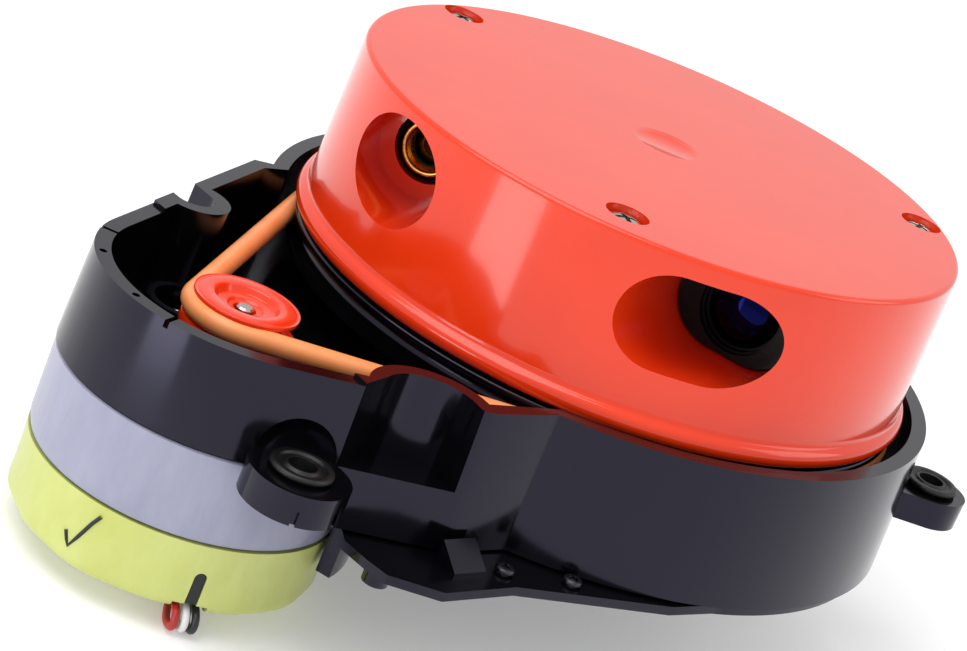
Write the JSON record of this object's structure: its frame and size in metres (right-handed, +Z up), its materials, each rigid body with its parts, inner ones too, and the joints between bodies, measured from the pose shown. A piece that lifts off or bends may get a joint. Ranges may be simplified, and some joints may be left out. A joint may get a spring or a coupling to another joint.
{
  "type": "lidar scanner module",
  "caption": "Belt-driven spinning laser scanner: an orange optics turret on a black tray, with its drive motor hanging under the tray's lobe and rubber-bushed mounting ears.",
  "frame": {"origin": "on the turret's spin axis, at the underside of the tray's bottom cover", "axes": "+Z up along the spin axis; the drive motor is on the -X side; -Y is the side with the front flange"},
  "size_m": [0.118, 0.0967, 0.0543],
  "materials": {
    "orange_abs": "glossy moulded orange-red ABS",
    "black_abs": "glossy black ABS",
    "belt_rubber": "satin orange polyurethane",
    "black_rubber": "matt",
    "grey_foam": "matt grey foam sleeve",
    "yellow_wrap": "satin yellow-green film",
    "steel": "nickel plated",
    "brass": "turned",
    "copper": "enamelled copper winding",
    "ferrite": "dark grey",
    "board": "green solder mask",
    "lens": "coated dark lens",
    "nylon": "natural white nylon",
    "lead_red": "PVC insulation",
    "lead_white": "PVC insulation",
    "lead_black": "PVC insulation"
  },
  "bodies": {
    "tray": {"base_housing": "black_abs", "bottom_cover": "black_abs", "cover_screw_1": "steel", "cover_screw_2": "steel", "cover_screw_3": "steel", "cover_screw_4": "steel", "cover_screw_5": "steel", "board_screw_1": "steel", "board_screw_2": "steel", "board_screw_3": "steel", "flange_rivet_1": "steel", "flange_rivet_2": "steel", "ear_grommet_front_left": "black_rubber", "ear_grommet_back": "black_rubber", "ear_grommet_front_right": "black_rubber", "ear_grommet_back_right": "black_rubber", "control_board": "board", "board_connector": "nylon", "motor_header": "nylon", "power_coil_lower": "copper", "bearing_inner_race": "steel", "bearing_clip": "steel", "motor_can": "steel", "motor_magnet": "ferrite", "motor_end_cap": "nylon", "motor_bushing": "brass", "motor_screw_1": "steel", "motor_screw_2": "steel", "motor_sleeve": "grey_foam", "motor_wrap": "yellow_wrap", "drive_belt": "belt_rubber", "motor_lead_red": "lead_red", "motor_lead_white": "lead_white", "motor_lead_black": "lead_black"},
    "turret": {"turret_cover": "orange_abs", "turret_base": "black_abs", "turret_screw_1": "steel", "turret_screw_2": "steel", "turret_screw_3": "steel", "turret_board": "board", "sensor_board": "board", "image_sensor": "ferrite", "receiver_holder": "black_abs", "receiver_lens": "lens", "laser_barrel": "black_abs", "laser_lens": "lens", "lens_retainer": "brass", "laser_diode": "brass", "power_coil_upper": "copper", "bearing_outer_race": "steel"},
    "ball_cage": {"bearing_cage": "brass"},
    "motor_rotor": {"motor_shaft": "steel", "motor_armature": "copper", "drive_pulley": "orange_abs"}
  },
  "joints": [
    {"name": "turret_spin", "type": "hinge", "parent": "tray", "child": "turret", "pos_m": [0, 0, 0], "axis": [0, 0, 1], "continuous": true},
    {"name": "motor_spin", "type": "hinge", "parent": "tray", "child": "motor_rotor", "pos_m": [-0.0562, 0, 0], "axis": [0, 0, 1], "continuous": true},
    {"name": "ball_cage_spin", "type": "hinge", "parent": "tray", "child": "ball_cage", "pos_m": [0, 0, 0], "axis": [0, 0, 1], "continuous": true}
  ],
  "couplings": [
    {"joint": "motor_spin", "follows": "turret_spin", "ratio": 6.4786},
    {"joint": "ball_cage_spin", "follows": "turret_spin", "ratio": 0.5667}
  ]
}
